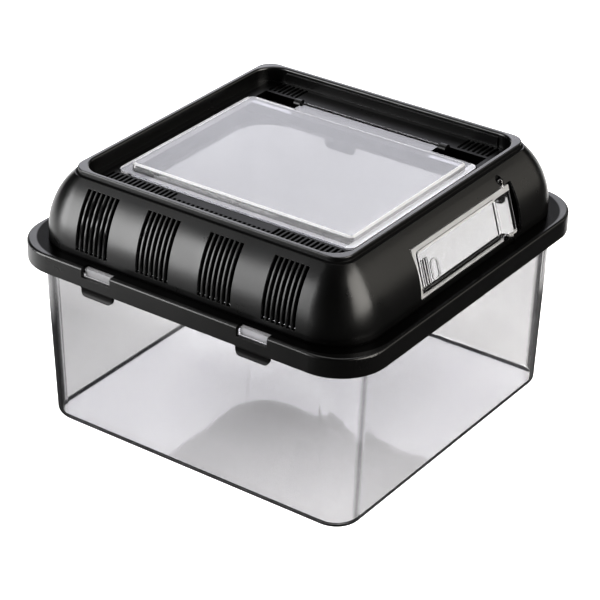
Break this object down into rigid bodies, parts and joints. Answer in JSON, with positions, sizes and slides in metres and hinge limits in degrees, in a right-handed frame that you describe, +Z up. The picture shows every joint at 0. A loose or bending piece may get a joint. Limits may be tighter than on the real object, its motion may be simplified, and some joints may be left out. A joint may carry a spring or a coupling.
{
  "type": "plastic pet keeper",
  "caption": "Clear square pet keeper tank under a black domed lid with louvred and combed vents, a clear hinged top hatch and a small clear side door.",
  "frame": {"origin": "centre of the tank's flat underside", "axes": "+Z up, front with the catch tabs is -Y, the side door is on +X"},
  "size_m": [0.205, 0.205, 0.137],
  "materials": {
    "tank": "clear gloss",
    "lid": "satin black",
    "top_hatch": "clear gloss",
    "side_door": "clear gloss"
  },
  "bodies": {
    "tank": {"tank": "tank"},
    "lid": {"lid": "lid"},
    "top_hatch": {"top_hatch": "top_hatch"},
    "side_door": {"side_door": "side_door"}
  },
  "joints": [
    {"name": "lid_lift", "type": "slide", "parent": "tank", "child": "lid", "axis": [0, 0, 1], "range_m": [0, 0.06]},
    {"name": "hatch_hinge", "type": "hinge", "parent": "lid", "child": "top_hatch", "pos_m": [0, 0.059, 0.1292], "axis": [-1, 0, 0], "range_deg": [0, 100]},
    {"name": "door_pivot", "type": "hinge", "parent": "lid", "child": "side_door", "pos_m": [0.09353, 0.044, 0.10298], "axis": [-0.2773, 0, 0.9608], "range_deg": [0, 95]}
  ]
}
